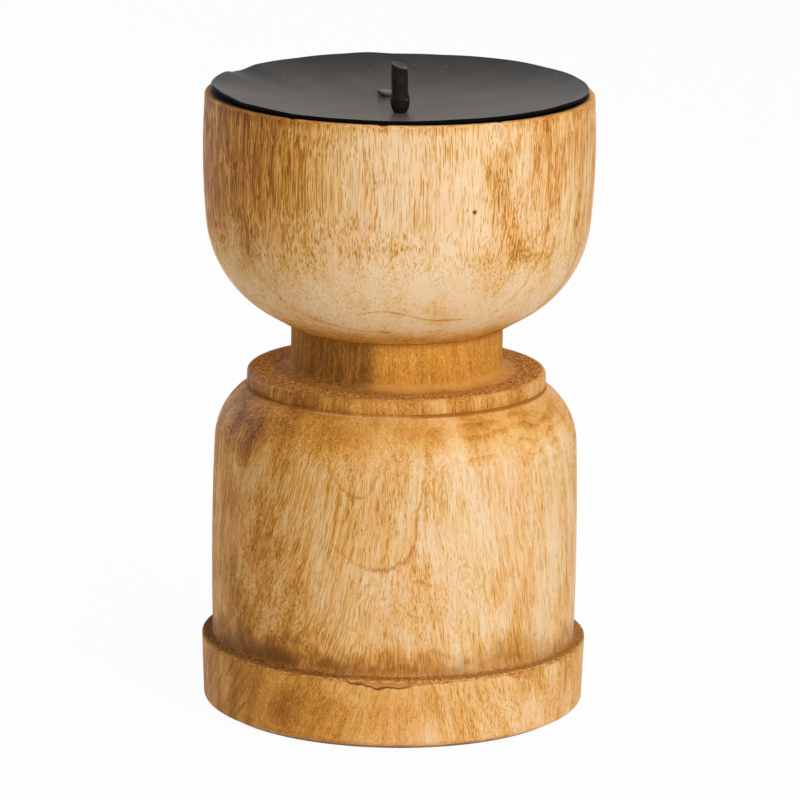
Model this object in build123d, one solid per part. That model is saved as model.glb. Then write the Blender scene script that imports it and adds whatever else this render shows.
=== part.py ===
# Pricket candle stand: two turned wooden pieces joined by a hidden dowel, topped by a dished
# iron drip pan with its spike and the nail that holds the pan down.
# Millimetres, +Z up. The origin is the middle of the standing face, and -Y is the front.

import os
from math import sqrt

from build123d import *

# Foot of the base
foot_radius = 49.5          # at the ledge, where the foot is widest
foot_height = 18.6
foot_draft = 0.6            # the wall draws in this much on its way down to the floor
foot_ease_width = 3.6       # the lower edge is eased off this far in along the floor
foot_ease_height = 1.9      # and this far up the wall
foot_ease_radius = 1.6      # rounding between the eased edge and the wall
ledge_width = 2.8           # step from the foot back to the barrel
ledge_edge_radius = 0.5
ledge_cove_radius = 0.6     # small hollow where the ledge meets the barrel

# Barrel and shoulder of the base
barrel_height = 51.4        # from the ledge to the start of the shoulder
barrel_swell = 0.35         # the wall stands out this much half way up
barrel_taper = 0.2          # and is this much slimmer at the shoulder than at the ledge
shoulder_height = 13.9

# Collar and neck of the base
collar_radius = 38.3
collar_height = 4.4
collar_edge_radius = 1.0
groove_depth = 0.5          # V-groove where the shoulder meets the collar
groove_width = 0.8
neck_radius = 27.1
neck_height = 12.2          # from the collar up to the joint under the cup
neck_fillet_radius = 2.2

# Cup
cup_radius = 50.0           # at its widest
cup_height = 59.5           # from the joint to the rim
cup_widest_drop = 13.0      # widest point below the rim
rim_draw_in = 0.4           # the rim is this much slimmer than the widest point
rim_edge_radius = 0.8
wall_height = 33.0          # upright wall below the rim, before the turn to the underside
wall_draw_in = 0.98         # the lower end of the wall is this much slimmer than the widest point
underside_width = 6.2       # plain sloping underside, from the cup's foot to the rounded turn
underside_height = 3.6      # the underside rises this much from the joint
cup_overhang = 1.1          # the cup's foot stands out past the neck

# Dowel that joins the cup to the base
dowel_radius = 10.0
dowel_depth_in_base = 30.0
dowel_depth_in_cup = 26.0
dowel_chamfer = 1.0
dowel_glue_gap = 0.1        # round the dowel
dowel_end_gap = 1.0         # at each end, for spare glue

# Drip pan
pan_margin = 1.6            # wood that shows round the pan, inside the cup's rim
pan_depth = 6.5             # from its rim down to its middle
pan_sheet = 1.0
pan_rise = 1.2              # its rim stands this much above the rim of the cup
pan_seat_gap = 0.05         # between the pan and the hollow that it lies in

# Spike
spike_radius = 2.1
spike_height = 13.0         # above the middle of the pan, at the high side of its cut end
spike_cut_drop = 1.4        # the cut end slopes down this much towards +X
spike_foot_radius = 1.8     # where it meets the pan
spike_foot_rounding = 0.5
spike_foot_spread = 0.3     # slope at which the foot spreads towards the bulge
spike_swell = 0.2           # hammered bulge near the foot
spike_swell_height = 2.8    # height of the bulge's fattest point
spike_shaft_start = 5.0     # the shaft is straight from this height up
tail_radius = 1.2           # passes through the pan
tail_gap = 0.05
rivet_radius = 2.4          # peened head under the pan
rivet_height = 1.3
rivet_room = 0.6            # space for the peened head in the cup

# Nail that holds the pan to the cup
nail_x = -4.0
nail_y = 19.0
nail_head_radius = 1.95
nail_head_height = 0.8
nail_head_rounding = 0.25
nail_shank_radius = 0.9
nail_length = 16.0          # under the head, with the point
nail_point_length = 2.5
nail_gap = 0.05

# Heights up the stand
shoulder_start = foot_height + barrel_height
collar_foot = shoulder_start + shoulder_height
collar_top = collar_foot + collar_height
joint_height = collar_top + neck_height
rim_height = joint_height + cup_height

# The pan is part of a ball, hollow side up
pan_radius = cup_radius - rim_draw_in - pan_margin
pan_ball_radius = (pan_radius**2 + pan_depth**2) / (2 * pan_depth)
pan_floor = rim_height + pan_rise - pan_depth
pan_ball_centre = Pos(0, 0, pan_floor + pan_ball_radius)

stand_up = (Align.CENTER, Align.CENTER, Align.MIN)
hang_down = (Align.CENTER, Align.CENTER, Align.MAX)


def turn(outline):
    return revolve(Plane.XZ * outline, Axis.Z)


def round_corner(outline, corner, radius):
    return fillet(outline.vertices().sort_by_distance(corner)[0], radius)


def base():
    barrel_radius = foot_radius - ledge_width
    barrel_middle = foot_height + barrel_height / 2
    floor_radius = foot_radius - foot_draft
    floor = Line((0, 0), (floor_radius - foot_ease_width, 0))
    ease = Line(floor @ 1, (floor_radius, foot_ease_height))
    foot = Line(ease @ 1, (foot_radius, foot_height))
    ledge = Line(foot @ 1, (barrel_radius, foot_height))
    barrel = ThreePointArc(
        ledge @ 1,
        (barrel_radius + barrel_swell, barrel_middle),
        (barrel_radius - barrel_taper, shoulder_start),
    )
    shoulder = TangentArc(barrel @ 1, (collar_radius, collar_foot), tangent=barrel % 1)
    groove = Polyline(
        shoulder @ 1,
        (collar_radius - groove_depth, collar_foot + groove_width / 2),
        (collar_radius, collar_foot + groove_width),
    )
    collar = Line(groove @ 1, (collar_radius, collar_top))
    collar_face = Line(collar @ 1, (neck_radius, collar_top))
    neck = Line(collar_face @ 1, (neck_radius, joint_height))
    closing = Polyline(neck @ 1, (0, joint_height), (0, 0))

    lower = [floor, ease, foot, ledge, barrel, shoulder]
    outline = make_face(lower + [groove, collar, collar_face, neck, closing])
    outline = round_corner(outline, ease @ 1, foot_ease_radius)
    outline = round_corner(outline, foot @ 1, ledge_edge_radius)
    outline = round_corner(outline, ledge @ 1, ledge_cove_radius)
    outline = round_corner(outline, collar @ 1, collar_edge_radius)
    outline = round_corner(outline, collar_face @ 1, neck_fillet_radius)
    return turn(outline) - dowel_socket()


def cup():
    rim = (cup_radius - rim_draw_in, rim_height)
    wall = ThreePointArc(
        rim,
        (cup_radius, rim_height - cup_widest_drop),
        (cup_radius - wall_draw_in, rim_height - wall_height),
    )
    foot_edge = neck_radius + cup_overhang
    turn_end = (foot_edge + underside_width, joint_height + underside_height)
    round_turn = TangentArc(wall @ 1, turn_end, tangent=wall % 1)
    underside = Line(round_turn @ 1, (foot_edge, joint_height))
    closing = Polyline(underside @ 1, (0, joint_height), (0, rim_height), rim)

    outline = make_face([wall, round_turn, underside, closing])
    outline = round_corner(outline, rim, rim_edge_radius)
    pan_hollow = pan_ball_centre * Sphere(pan_ball_radius + pan_sheet + pan_seat_gap)
    return turn(outline) - pan_hollow - dowel_socket() - rivet_pocket() - nail_hole()


def dowel():
    length = dowel_depth_in_base + dowel_depth_in_cup
    middle = joint_height + (dowel_depth_in_cup - dowel_depth_in_base) / 2
    peg = Cylinder(dowel_radius, length)
    return Pos(0, 0, middle) * chamfer(peg.edges().filter_by(GeomType.CIRCLE), dowel_chamfer)


def dowel_socket():
    bottom = joint_height - dowel_depth_in_base - dowel_end_gap
    length = dowel_depth_in_base + dowel_depth_in_cup + 2 * dowel_end_gap
    return Pos(0, 0, bottom) * Cylinder(dowel_radius + dowel_glue_gap, length, align=stand_up)


def drip_pan():
    ball = pan_ball_centre * Sphere(pan_ball_radius + pan_sheet)
    hollow = pan_ball_centre * Sphere(pan_ball_radius)
    disc = Cylinder(pan_radius, pan_depth + 2 * pan_sheet, align=hang_down)
    dish = Pos(0, 0, rim_height + pan_rise) * disc & ball
    tail_hole = Pos(0, 0, pan_floor) * Cylinder(tail_radius + tail_gap, 4 * pan_sheet)
    return dish - hollow - tail_hole - nail_hole()


def spike():
    foot_rise = pan_ball_radius - sqrt(pan_ball_radius**2 - spike_foot_radius**2)
    foot = pan_floor + foot_rise
    rivet_top = pan_floor - pan_sheet
    rivet = TangentArc((0, rivet_top - rivet_height), (rivet_radius, rivet_top), tangent=(1, 0))
    tail = Polyline(rivet @ 1, (tail_radius, rivet_top), (tail_radius, foot), (spike_foot_radius, foot))
    bulge = Spline(
        tail @ 1,
        (spike_radius + spike_swell, pan_floor + spike_swell_height),
        (spike_radius, pan_floor + spike_shaft_start),
        tangents=((spike_foot_spread, 1), (0, 1)),
    )
    shaft = Line(bulge @ 1, (spike_radius, pan_floor + spike_height))
    closing = Polyline(shaft @ 1, (0, pan_floor + spike_height), rivet @ 0)
    outline = make_face([rivet, tail, bulge, shaft, closing])
    outline = round_corner(outline, tail @ 1, spike_foot_rounding)

    cut = make_face(
        Polyline(
            (-spike_radius, pan_floor + spike_height),
            (spike_radius, pan_floor + spike_height),
            (spike_radius, pan_floor + spike_height - spike_cut_drop),
            close=True,
        )
    )
    wedge = extrude(Plane.XZ * cut, 2 * spike_radius, both=True)
    return turn(outline) - wedge


def rivet_pocket():
    depth = pan_sheet + rivet_height + rivet_room
    return Pos(0, 0, pan_floor) * Cylinder(rivet_radius + rivet_room, depth, align=hang_down)


def nail_seat():
    # The nail is driven square to the pan, so its head lies flat in the hollow side
    head_rise = pan_ball_radius - sqrt(pan_ball_radius**2 - nail_head_radius**2)
    ball_drop = sqrt(pan_ball_radius**2 - nail_x**2 - nail_y**2)
    centre = Vector(0, 0, pan_floor + pan_ball_radius)
    inward = Vector(-nail_x, -nail_y, ball_drop).normalized()
    seat = centre - inward * (pan_ball_radius - head_rise)
    return Plane(origin=seat, z_dir=inward)


def nail():
    point = (0, -nail_length)
    shank = Polyline(
        point,
        (nail_shank_radius, nail_point_length - nail_length),
        (nail_shank_radius, 0),
        (nail_head_radius, 0),
    )
    head = Polyline(shank @ 1, (nail_head_radius, nail_head_height), (0, nail_head_height), point)
    outline = make_face([shank, head])
    outline = round_corner(outline, (nail_head_radius, nail_head_height), nail_head_rounding)
    return nail_seat() * turn(outline)


def nail_hole():
    hole = Cylinder(nail_shank_radius + nail_gap, nail_length + nail_gap, align=hang_down)
    return nail_seat() * hole


pieces = {
    "base": base(),
    "cup": cup(),
    "joining_dowel": dowel(),
    "drip_pan": drip_pan(),
    "pricket_spike": spike(),
    "pan_nail": nail(),
}

os.makedirs("parts", exist_ok=True)
for name, piece in pieces.items():
    export_step(piece, f"parts/{name}.step")
    print(name, "volume", round(piece.volume, 2), "solids", len(piece.solids()))
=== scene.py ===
import bpy
import bmesh
import math
from mathutils import Matrix, Vector, noise


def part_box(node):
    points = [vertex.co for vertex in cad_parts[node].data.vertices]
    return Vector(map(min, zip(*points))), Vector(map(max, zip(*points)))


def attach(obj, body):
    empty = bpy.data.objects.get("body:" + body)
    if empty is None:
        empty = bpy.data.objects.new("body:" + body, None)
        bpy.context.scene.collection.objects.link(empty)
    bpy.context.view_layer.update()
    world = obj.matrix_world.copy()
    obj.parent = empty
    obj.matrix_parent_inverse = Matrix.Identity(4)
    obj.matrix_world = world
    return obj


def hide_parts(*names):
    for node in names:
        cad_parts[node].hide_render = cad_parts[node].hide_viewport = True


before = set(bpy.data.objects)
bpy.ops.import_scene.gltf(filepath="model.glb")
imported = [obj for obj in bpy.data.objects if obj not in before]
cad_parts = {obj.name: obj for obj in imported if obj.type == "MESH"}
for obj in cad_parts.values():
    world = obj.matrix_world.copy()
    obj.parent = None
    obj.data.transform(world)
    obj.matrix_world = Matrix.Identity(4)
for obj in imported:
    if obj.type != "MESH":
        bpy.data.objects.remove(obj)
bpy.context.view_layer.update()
mm = 0.001

cupLow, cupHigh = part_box("cup")
baseLow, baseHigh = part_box("base")
panLow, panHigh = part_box("drip_pan")
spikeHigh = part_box("pricket_spike")[1]
print("frame loaded:", ", ".join(sorted(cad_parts)))


def addObject(name, data):
    made = bpy.data.objects.new(name, data)
    bpy.context.scene.collection.objects.link(made)
    return made


# camera first, fitted to the photograph's outline

shot = {
    "distance": 1.5047,   # metres straight back from the axis
    "height": 0.4236,
    "aside": 0.0010,      # the axis stands a little left of the middle
    "pitch": 12.872,      # degrees down
    "roll": 0.744,        # degrees, the stand leans right in the picture
    "lens": 270.5,
    "sensor": 36.0,
    "farEnd": 20.0,
}


def placeCamera():
    data = bpy.data.cameras.new("shotCamera")
    data.lens = shot["lens"]
    data.sensor_width = shot["sensor"]
    data.clip_end = shot["farEnd"]
    camera = addObject("shotCamera", data)
    spot = Matrix.Translation((shot["aside"], -shot["distance"], shot["height"]))
    tilt = Matrix.Rotation(math.radians(90 - shot["pitch"]), 4, "X")
    camera.matrix_world = spot @ tilt @ Matrix.Rotation(math.radians(shot["roll"]), 4, "Z")
    bpy.context.scene.camera = camera


placeCamera()
print("camera placed")


# small helpers for node trees, they all work on the tree that was opened last

bench = {}


def openTree(tree):
    bench["tree"] = tree
    return tree


def feed(node, values):
    for key, value in values.items():
        if isinstance(value, bpy.types.NodeSocket):
            bench["tree"].links.new(value, node.inputs[key])
        else:
            node.inputs[key].default_value = value


def addNode(kind, values=None, **settings):
    made = bench["tree"].nodes.new(kind)
    for name, value in settings.items():
        setattr(made, name, value)
    feed(made, values or {})
    return made


def firstOf(kind, values=None, **settings):
    return addNode(kind, values, **settings).outputs[0]


def calc(operation, a, b=0.0):
    return firstOf("ShaderNodeMath", {0: a, 1: b}, operation=operation)


def chain(operation, values):
    result = values[0]
    for value in values[1:]:
        result = calc(operation, result, value)
    return result


def times(*factors):
    return chain("MULTIPLY", factors)


def plus(*terms):
    return chain("ADD", terms)


def minus(a, b):
    return calc("SUBTRACT", a, b)


def most(*values):
    return chain("MAXIMUM", values)


def absolute(value):
    return calc("ABSOLUTE", value)


def spread(value, low, high, start=0.0, end=1.0):
    ends = {"Value": value, "From Min": low, "From Max": high, "To Min": start, "To Max": end}
    return firstOf("ShaderNodeMapRange", ends, interpolation_type="SMOOTHSTEP")


def sway(value, much):
    # noise about its middle
    return times(minus(value, 0.5), much)


def blend(factor, a, b, way="MIX"):
    return addNode("ShaderNodeMix", {0: factor, 6: a, 7: b}, data_type="RGBA", blend_type=way).outputs[2]


def vectors(operation, *values, out=0):
    return addNode("ShaderNodeVectorMath", dict(enumerate(values)), operation=operation).outputs[out]


def stretch(vector, x, y, z):
    return vectors("MULTIPLY", vector, (x, y, z))


def point(x, y, z=0.0):
    return firstOf("ShaderNodeCombineXYZ", {0: x, 1: y, 2: z})


def partsOf(vector):
    return addNode("ShaderNodeSeparateXYZ", {0: vector}).outputs


def fromAxis(x, y):
    return calc("SQRT", plus(times(x, x), times(y, y)))


def grainNoise(vector, scale, detail=2.0, rough=0.5, out="Fac"):
    values = {"Vector": vector, "Scale": scale, "Detail": detail, "Roughness": rough}
    return addNode("ShaderNodeTexNoise", values).outputs[out]


def wornMark():
    # kept on the mesh, 1 where it is rough or bare, and on the pan's cut edge, where it gives painted shade
    return addNode("ShaderNodeAttribute", attribute_name="worn").outputs["Fac"]


def rgb(r, g, b):
    return (r, g, b, 1.0)


def socket(name, kind, way="INPUT", value=None):
    made = bench["tree"].interface.new_socket(name, in_out=way, socket_type="NodeSocket" + kind)
    if value is not None:
        made.default_value = value


def startGroup(name, *vectorInputs, **floatInputs):
    openTree(bpy.data.node_groups.new(name, "ShaderNodeTree"))
    for label in vectorInputs:
        socket(label, "Vector")
    for label, value in floatInputs.items():
        socket(label, "Float", value=value)
    return addNode("NodeGroupInput").outputs


def endGroup(**results):
    for label in results:
        socket(label, "Color" if label == "Colour" else "Float", "OUTPUT")
    addNode("NodeGroupOutput", results)
    return bench["tree"]


def useGroup(group, **values):
    made = addNode("ShaderNodeGroup", node_tree=group)
    feed(made, values)
    return made.outputs


# shared wood effects, in millimetres with the fibre along Z

def makeLineGroup():
    # broken dark lines, the open pores of the wood
    inside = startGroup("grainLines", "Grain", Across=2.4, Along=0.2, Amount=0.4)
    x, y, z = partsOf(inside["Grain"])
    drawn = point(times(x, inside["Across"]), times(y, inside["Across"]), times(z, inside["Along"]))
    level = plus(grainNoise(drawn, 1.0, 1.0), times(inside["Amount"], 0.25))
    crest = absolute(minus(grainNoise(drawn, 0.4, 0.0), 0.5))
    hairs = times(spread(crest, 0.07, 0.01), spread(grainNoise(drawn, 0.23, 1.0), 0.46, 0.60))
    return endGroup(Lines=spread(level, 0.705, 0.755), Hairs=hairs)


def makeFigureGroup():
    # single fibres, narrow streaks and broad patches
    grain = startGroup("woodFigure", "Grain")["Grain"]
    return endGroup(Fibres=grainNoise(stretch(grain, 3.6, 3.6, 0.2), 1.0, 2.0, 0.6),
                    Streaks=grainNoise(stretch(grain, 0.75, 0.75, 0.05), 1.0, 3.0, 0.6),
                    Patches=grainNoise(stretch(grain, 0.13, 0.13, 0.05), 1.0, 1.5, 0.5))


def makeRingGroup():
    # year rings round the heart of the log, bent a little
    inside = startGroup("yearRings", "Heart", Jag=0.0, Width=9.4, Thin=0.05)
    heart = inside["Heart"]
    bend = grainNoise(heart, 0.045, 2.0, 0.5, "Color")
    bent = vectors("MULTIPLY_ADD", bend, (5.0, 5.0, 0.0), heart)
    flat = stretch(vectors("SUBTRACT", bent, (2.5, 2.5, 0.0)), 1.0, 1.0, 0.0)
    away = vectors("LENGTH", flat, out="Value")
    phase = calc("FRACT", calc("DIVIDE", plus(away, inside["Jag"]), inside["Width"]))
    rise = spread(phase, minus(0.975, inside["Thin"]), 0.975)
    broken = spread(grainNoise(heart, 0.09, 1.0), 0.38, 0.55, 0.4, 1.0)
    line = times(rise, spread(phase, 0.985, 1.0, 1.0, 0.0), broken)
    return endGroup(Line=line, Phase=phase, Away=away)


def makeSpotGroup():
    # soft patch round one place
    inside = startGroup("softSpot", "Spot", "Centre", "Size")
    share = vectors("DIVIDE", vectors("SUBTRACT", inside["Spot"], inside["Centre"]), inside["Size"])
    return endGroup(Mask=spread(vectors("LENGTH", share, out="Value"), 0.35, 1.0, 1.0, 0.0))


woodTones = {
    "pale": rgb(0.90, 0.66, 0.40),      # sapwood
    "dark": rgb(0.18, 0.066, 0.015),
    "between": [(0.22, rgb(0.86, 0.53, 0.21)), (0.45, rgb(0.74, 0.345, 0.062)),
                (0.70, rgb(0.46, 0.175, 0.023))],
    "blush": rgb(1.0, 0.93, 0.89),
}


def makeToneGroup():
    # from pale sapwood through golden to dark brown
    inside = startGroup("woodTone", Depth=0.2, Blush=0.0)
    ramp = addNode("ShaderNodeValToRGB", {0: inside["Depth"]})
    stops = ramp.color_ramp.elements
    stops[0].color = woodTones["pale"]
    stops[1].color = woodTones["dark"]
    for place, tint in woodTones["between"]:
        stops.new(place).color = tint
    return endGroup(Colour=blend(inside["Blush"], ramp.outputs[0], woodTones["blush"], "MULTIPLY"))


lineGroup = makeLineGroup()
figureGroup = makeFigureGroup()
ringGroup = makeRingGroup()
spotGroup = makeSpotGroup()
toneGroup = makeToneGroup()


def startFinish(name):
    stuff = bpy.data.materials.new(name)
    stuff.use_nodes = True
    tree = openTree(stuff.node_tree)
    place = addNode("ShaderNodeTexCoord").outputs["Object"]
    spot = firstOf("ShaderNodeVectorMath", {0: place, "Scale": 1 / mm}, operation="SCALE")
    return stuff, tree.nodes["Principled BSDF"], spot


def swayed(spot, slow, quick):
    # the fibres wander a little on their way up
    far = grainNoise(spot, 0.018, 1.0, 0.5, "Color")
    near = grainNoise(stretch(spot, 0.16, 0.16, 0.075), 1.0, 1.0, 0.5, "Color")
    moved = vectors("MULTIPLY_ADD", far, (slow, slow, 0.0), spot)
    return vectors("MULTIPLY_ADD", near, (quick, quick, 0.0), moved)


def spotsOf(spot, marks):
    total = 0.0
    for centre, size, much in marks:
        mask = useGroup(spotGroup, Spot=spot, Centre=centre, Size=size)["Mask"]
        total = plus(total, times(mask, much))
    return total


def toned(depth, spot, along):
    # redder here and there
    blush = spread(grainNoise(stretch(spot, 0.07, 0.07, along), 1.0, 2.0), 0.42, 0.66)
    return useGroup(toneGroup, Depth=depth, Blush=blush)["Colour"]


def finishWood(skin, colour, height, rough):
    dip = firstOf("ShaderNodeBump", {"Strength": 0.6, "Distance": 0.00022, "Height": height})
    feed(skin, {"Base Color": colour, "Roughness": rough, "Specular IOR Level": 0.12, "Normal": dip})


# in the looks, marks are (centre, size, strength), places are millimetres and depths darken the tone

cupLook = {
    "tone": 0.03,
    "sway": (7.0, 1.3),
    "heart": (4.0, 252.0, 0.0),     # the log's heart lay far behind this piece
    "years": {"Width": 16.0, "Thin": 0.05},
    "fine": {"Across": 4.1, "Along": 0.18},     # short pores, and long drawn ones
    "drawn": {"Across": 2.6, "Along": 0.05},
    "slash": (22.6, 148.9, 0.323),  # dark streak on the right: x, z and slope
    # of these, left is partly painted shade, underside is painted light from below, and foot is painted shade
    # in the crease under the cup
    "depths": {"left": 0.48, "right": 0.14, "patches": 0.5, "streaks": 0.6, "fibres": 0.45, "flecks": 0.25,
               "slash": 0.2, "curl": 0.3, "browner": 0.12, "years": 0.25, "pores": 0.42,
               "rim": 0.16, "underside": -0.03, "foot": 0.45},
    "browner": [((-7.5, -47.0, 128.0), (10.0, 9.0, 2.6), 0.55), ((2.0, -47.0, 129.5), (5.0, 8.0, 2.0), 0.4),
                ((-4.3, -49.4, 159.0), (2.6, 3.0, 1.6), 0.7), ((35.0, -35.0, 124.8), (10.0, 12.0, 1.5), 0.4),
                ((28.0, -41.0, 145.0), (13.0, 14.0, 16.0), 0.4)],
    "knot": [((18.9, -46.3, 138.1), (0.75, 3.0, 0.7), 0.9)],
    "seatDark": rgb(0.01, 0.008, 0.006),
}


def makeCupWood():
    stuff, skin, spot = startFinish("cupWood")
    x, y, z = partsOf(spot)
    look, depths = cupLook, cupLook["depths"]
    grain = swayed(spot, *look["sway"])
    figure = useGroup(figureGroup, Grain=grain)
    patches, streaks, fibres = figure["Patches"], figure["Streaks"], figure["Fibres"]
    wander = plus(x, sway(patches, 26.0))
    # darker towards the left: partly the wood's golden-brown tone, partly painted shade on the side away from
    # the lamps, weaker on the underside
    left = times(spread(wander, -4.0, -36.0), spread(z, 116.0, 142.0, 0.3, 1.0))
    right = spread(wander, 16.0, 46.0)
    front = spread(y, 0.0, -10.0)
    browner = spotsOf(spot, look["browner"])
    slashX, slashZ, slope = look["slash"]
    across = minus(x, plus(slashX, times(minus(slashZ, z), slope)))
    slash = times(spread(absolute(plus(across, sway(streaks, 5.0))), 4.5, 0.3),
                  spread(z, 121.0, 127.0), spread(z, 158.0, 146.0), front)

    crowd = plus(spread(patches, 0.35, 0.65, 0.36, 0.60), times(browner, 0.5))
    fine = useGroup(lineGroup, Grain=grain, Amount=crowd, **look["fine"])
    crowd = plus(0.26, times(left, 0.42), times(right, 0.16), times(slash, 0.4))
    drawn = useGroup(lineGroup, Grain=grain, Amount=crowd, **look["drawn"])
    endOn = spread(z, 116.0, 128.0, 0.5, 1.0)       # pores cut across look fainter
    pores = most(times(fine["Lines"], endOn), times(drawn["Lines"], 0.75), times(drawn["Hairs"], endOn, 0.6))
    heart = vectors("SUBTRACT", spot, look["heart"])
    rings = useGroup(ringGroup, Heart=heart, Jag=times(fibres, 0.9), **look["years"])

    flecks = grainNoise(stretch(spot, 3.0, 3.0, 1.6), 1.0, 2.0, 0.6)
    # one year ring shows on the underside
    hump = plus(spread(absolute(plus(x, 3.3)), 0.0, 14.0, 112.0, 109.2), sway(fibres, 1.0))
    curl = times(spread(absolute(minus(z, hump)), 0.40, 0.08), front,
                 spread(x, -12.0, -8.0), spread(x, 22.0, 15.0))
    well = times(spread(fromAxis(x, y), 48.4, 47.7), spread(z, 151.0, 153.0))   # near black on the seat under the pan
    depth = plus(look["tone"], well, times(left, depths["left"]), times(right, depths["right"]),
                 sway(patches, depths["patches"]), sway(streaks, depths["streaks"]),
                 sway(fibres, depths["fibres"]), sway(flecks, depths["flecks"]),
                 times(slash, depths["slash"]), times(curl, depths["curl"]),
                 times(browner, depths["browner"]), times(rings["Line"], depths["years"]),
                 times(pores, depths["pores"]), spotsOf(spot, look["knot"]),
                 spread(z, 157.0, 159.4, 0.0, depths["rim"]),
                 # painted light: the underside a little paler, as if lit from below; then painted shade,
                 # darker in the crease where the cup meets the base
                 spread(z, 126.0, 118.0, 0.0, depths["underside"]),
                 spread(z, 107.0, 101.0, 0.0, depths["foot"]))
    colour = blend(times(well, 0.9), toned(depth, spot, 0.05), look["seatDark"])
    finishWood(skin, colour, minus(1.0, pores), spread(pores, 0.0, 1.0, 0.48, 0.75))
    return stuff


baseHeights = {
    "ledge": 18.6,
    "shoulder": 70.0,       # where the barrel begins to turn in
    "collar": 83.9,
    "neck": 88.3,
    "joint": baseHigh[2] / mm,
}

baseLook = {
    "tone": 0.09,
    "sway": (7.0, 1.4),
    "lean": 0.45,                   # the year rings come forward this much per unit of height
    "leanHeight": 50.0,
    "sideLean": 0.26,
    "poreLean": 0.07,
    "closing": (0.013, 0.006),      # the pores also close in on the middle, left and right
    "heart": (-3.1, -30.0, 0.0),    # heart of the log after taking out the lean
    "years": {"Width": 9.4, "Thin": 0.045},
    "fine": {"Across": 4.4, "Along": 0.26},
    "drawn": {"Across": 2.5, "Along": 0.07},
    # of these, left is partly painted shade and floor is painted shade along the bottom edge
    "depths": {"left": 0.31, "patches": 0.7, "streaks": 0.7, "terrace": 0.16, "slant": 0.26, "fibres": 0.45,
               "flecks": (0.28, 0.55), "years": 0.10, "browner": 0.4, "paler": -0.35, "pores": 0.31,
               "shoulder": 0.22, "collar": 0.06, "foot": 0.12, "floor": 0.5},
    "browner": [
        ((-38.0, -25.0, 75.0), (10.0, 14.0, 9.0), 0.58), ((-2.0, -45.0, 22.5), (16.0, 12.0, 4.5), 0.45),
        ((27.0, -38.0, 24.0), (14.0, 14.0, 7.0), 0.4), ((-27.0, -38.0, 23.0), (14.0, 14.0, 6.0), 0.3),
        ((-22.0, -42.0, 10.0), (13.0, 12.0, 9.0), 0.22), ((-3.0, -48.0, 8.0), (14.0, 12.0, 7.0), 0.18),
        ((-28.0, -41.0, 9.5), (5.5, 10.0, 7.0), 0.22), ((-14.0, -46.0, 9.0), (6.0, 8.0, 8.0), 0.3),
    ],
    "paler": [((15.0, -44.0, 72.0), (11.0, 14.0, 9.0), 0.18), ((-6.5, -45.0, 68.0), (6.0, 10.0, 5.0), 0.2),
              ((5.0, -46.0, 35.0), (13.0, 14.0, 11.0), 0.25), ((12.0, -45.0, 52.0), (9.0, 14.0, 9.0), 0.2),
              ((-17.0, -43.0, 47.0), (9.0, 14.0, 20.0), 0.2), ((31.0, -38.0, 8.0), (13.0, 14.0, 9.0), 0.22)],
    "blot": [((-31.0, -35.0, 20.6), (12.5, 14.0, 5.0), 0.8)],
}

basePaints = {
    "redLine": rgb(0.60, 0.20, 0.045),
    "amber": rgb(0.88, 0.39, 0.048),    # the neck, and the lighter foot of it
    # paler fillet colour, a painted light on its right side
    "litFlare": rgb(0.78, 0.41, 0.10),
    "umber": rgb(0.44, 0.16, 0.015),
    "stain": rgb(0.16, 0.058, 0.011),
    # also the painted glints on the neck's fibres
    "fresh": rgb(0.95, 0.63, 0.24),     # torn fibres, paler than the finish
    # painted highlight on the ridge above the groove
    "ridge": rgb(0.90, 0.66, 0.38),
    "pool": rgb(0.62, 0.25, 0.035),     # finish in the corner of the ledge
    "deepPool": rgb(0.34, 0.12, 0.014),
    "leftPool": rgb(0.17, 0.058, 0.009),
    "blot": rgb(0.20, 0.07, 0.012),
    # painted shade for the ledge's inner corner
    "step": rgb(0.12, 0.042, 0.008),
    "chip": rgb(0.50, 0.18, 0.035),
    "chipPale": rgb(0.74, 0.32, 0.075),
    "chipEdge": rgb(0.15, 0.05, 0.01),
    "crust": rgb(0.27, 0.098, 0.018),   # torn end grain
    "crustPale": rgb(0.86, 0.385, 0.064),
    "crustBright": rgb(0.86, 0.54, 0.26),
}

chipShape = {
    "middle": 4.5, "half": 17.0,    # mm, along the front of the ledge
    "drop": 1.6, "skew": 1.7,       # how far it is torn down, more on the left
    "depth": 0.45,
}


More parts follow.
